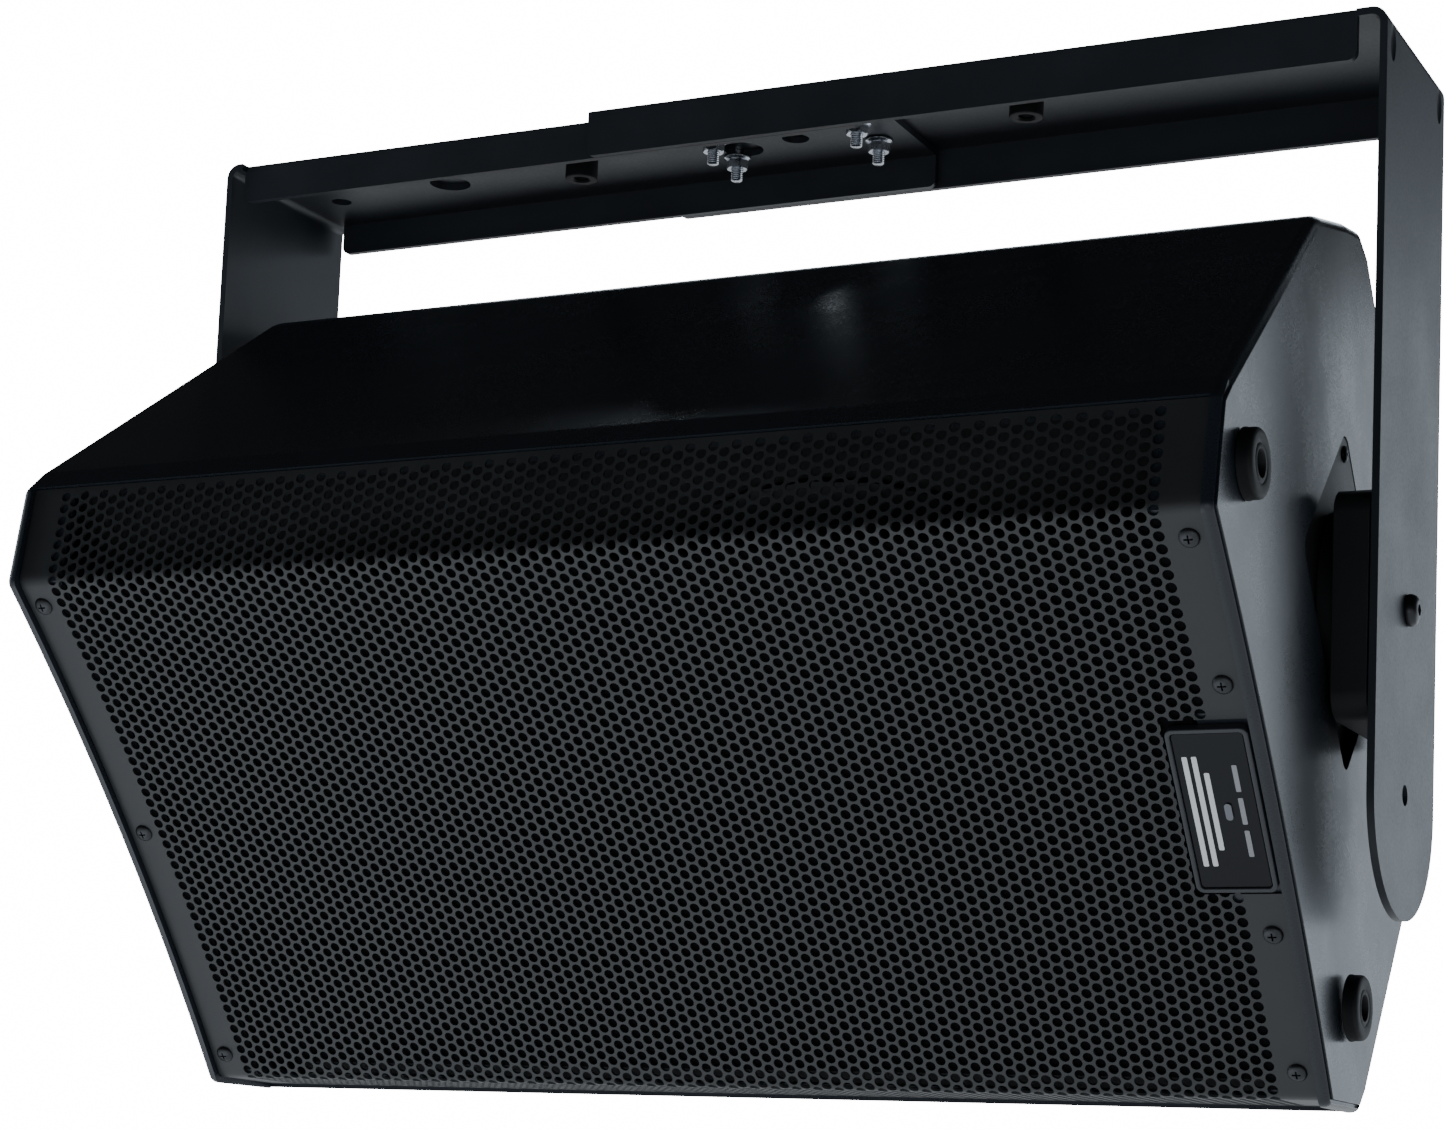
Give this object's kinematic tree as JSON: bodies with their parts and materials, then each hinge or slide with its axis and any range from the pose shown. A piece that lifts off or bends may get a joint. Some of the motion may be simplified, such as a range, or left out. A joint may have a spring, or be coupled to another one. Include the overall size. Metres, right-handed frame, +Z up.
{
  "type": "yoke mounted loudspeaker",
  "caption": "Wide powered loudspeaker with a folded perforated grille, bolted between the arms of a two-piece steel yoke and tilted towards the floor.",
  "frame": {"origin": "middle of the top face of the yoke's crossbar, where the speaker hangs from", "axes": "+X along the crossbar, +Y to the back, +Z up"},
  "size_m": [0.6406, 0.4302, 0.4945],
  "materials": {
    "yoke_black": "fine textured satin powder coat",
    "zinc": "zinc plated",
    "rubber": "matte",
    "shell_black": "fine moulded texture",
    "grille_paint": "satin powder coat on perforated steel",
    "foam": "open foam",
    "screw_black": "black oxide",
    "badge_grey": "satin",
    "light_lens": "frosted",
    "baffle_black": "painted board",
    "cone_paper": "coated paper",
    "panel_black": "satin",
    "control_black": "satin",
    "display_glass": "glossy",
    "circuit_green": "satin"
  },
  "bodies": {
    "yoke": {"yoke_outer_half": "yoke_black", "yoke_inner_half": "yoke_black", "splice_bolt_1": "zinc", "splice_bolt_2": "zinc", "splice_bolt_3": "zinc", "splice_bolt_4": "zinc", "splice_nut_1": "zinc", "splice_nut_2": "zinc", "splice_nut_3": "zinc", "splice_nut_4": "zinc", "boss_left": "rubber", "boss_right": "rubber", "pivot_spacer_left": "rubber", "pivot_spacer_right": "rubber"},
    "cabinet": {"enclosure": "shell_black", "baffle": "baffle_black", "grille_sheet": "grille_paint", "grille_foam": "foam", "grille_screw_1": "screw_black", "grille_screw_2": "screw_black", "grille_screw_3": "screw_black", "grille_screw_4": "screw_black", "grille_screw_5": "screw_black", "grille_screw_6": "screw_black", "grille_screw_7": "screw_black", "badge_frame": "badge_grey", "badge_plate": "control_black", "badge_light": "light_lens", "foot_1": "rubber", "foot_2": "rubber", "foot_3": "rubber", "adaptor_plate_left": "panel_black", "adaptor_plate_right": "panel_black", "plate_screw_1": "screw_black", "plate_screw_2": "screw_black", "plate_screw_3": "screw_black", "plate_screw_4": "screw_black", "pivot_bolt_left": "screw_black", "pivot_bolt_right": "screw_black", "woofer_frame": "panel_black", "woofer_surround": "rubber", "horn": "shell_black", "compression_driver": "panel_black", "amp_panel": "panel_black", "heat_sink": "panel_black", "circuit_board": "circuit_green", "input_socket_1": "control_black", "input_socket_2": "control_black", "display_window": "display_glass", "power_inlet": "control_black", "side_handle": "shell_black"},
    "cone": {"woofer_cone": "cone_paper"},
    "encoder": {"encoder_knob": "control_black"},
    "gain_1": {"gain_knob_1": "control_black"},
    "gain_2": {"gain_knob_2": "control_black"},
    "button_1": {"push_button_1": "control_black"},
    "button_2": {"push_button_2": "control_black"},
    "rocker": {"power_rocker": "control_black"}
  },
  "joints": [
    {"name": "cabinet_tilt", "type": "hinge", "parent": "yoke", "child": "cabinet", "pos_m": [0, 0, -0.2664], "axis": [1, 0, 0], "range_deg": [-39.6, 50.4]},
    {"name": "cone_travel", "type": "slide", "parent": "cabinet", "child": "cone", "axis": [0, 0.7705, 0.6374], "range_m": [-0.006, 0.006], "stiffness_N_per_m": 3000},
    {"name": "encoder_turn", "type": "hinge", "parent": "cabinet", "child": "encoder", "pos_m": [0.14, 0.13304, -0.16413], "axis": [0, 0.7705, 0.6374], "continuous": true},
    {"name": "gain_1_turn", "type": "hinge", "parent": "cabinet", "child": "gain_1", "pos_m": [0.016, 0.09734, -0.12098], "axis": [0, 0.7705, 0.6374], "range_deg": [-150, 150]},
    {"name": "gain_2_turn", "type": "hinge", "parent": "cabinet", "child": "gain_2", "pos_m": [0.016, 0.12412, -0.15334], "axis": [0, 0.7705, 0.6374], "range_deg": [-150, 150]},
    {"name": "button_1_press", "type": "slide", "parent": "cabinet", "child": "button_1", "axis": [0, -0.7705, -0.6374], "range_m": [0, 0.0015], "stiffness_N_per_m": 400, "springref_m": -0.001},
    {"name": "button_2_press", "type": "slide", "parent": "cabinet", "child": "button_2", "axis": [0, -0.7705, -0.6374], "range_m": [0, 0.0015], "stiffness_N_per_m": 400, "springref_m": -0.001},
    {"name": "rocker_switch", "type": "hinge", "parent": "cabinet", "child": "rocker", "pos_m": [0.216, 0.14008, -0.17907], "axis": [1, 0, 0], "range_deg": [0, 7]}
  ]
}
